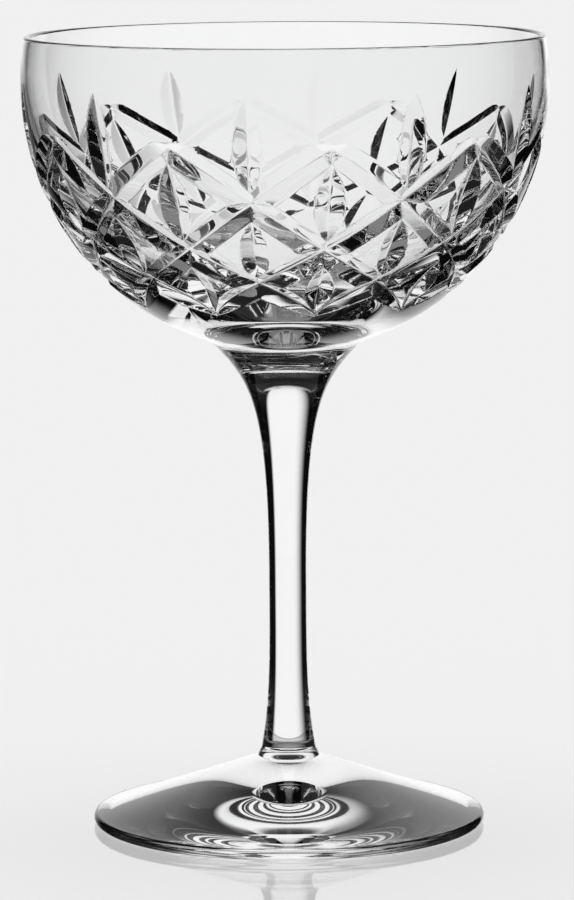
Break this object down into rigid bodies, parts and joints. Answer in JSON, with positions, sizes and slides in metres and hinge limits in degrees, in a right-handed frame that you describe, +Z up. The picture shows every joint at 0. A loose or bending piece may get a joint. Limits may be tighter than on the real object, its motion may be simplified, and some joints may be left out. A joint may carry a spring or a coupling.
{
  "type": "sherbet glass",
  "caption": "Stemmed sherbet glass with a round open bowl cut in a lattice of crossed mitres and leaves, a slender drawn stem and a low conical foot.",
  "frame": {"origin": "centre of the plane that the foot's ring rests on", "axes": "+Z up along the stem, -Y towards the viewer of the picture, +X to the viewer's right"},
  "size_m": [0.0954, 0.0956, 0.1445],
  "materials": {
    "bowl_crystal": "polished, cut",
    "stem_crystal": "polished",
    "foot_crystal": "polished"
  },
  "bodies": {
    "root": {"bowl": "bowl_crystal", "stem": "stem_crystal", "foot": "foot_crystal"}
  },
  "joints": []
}
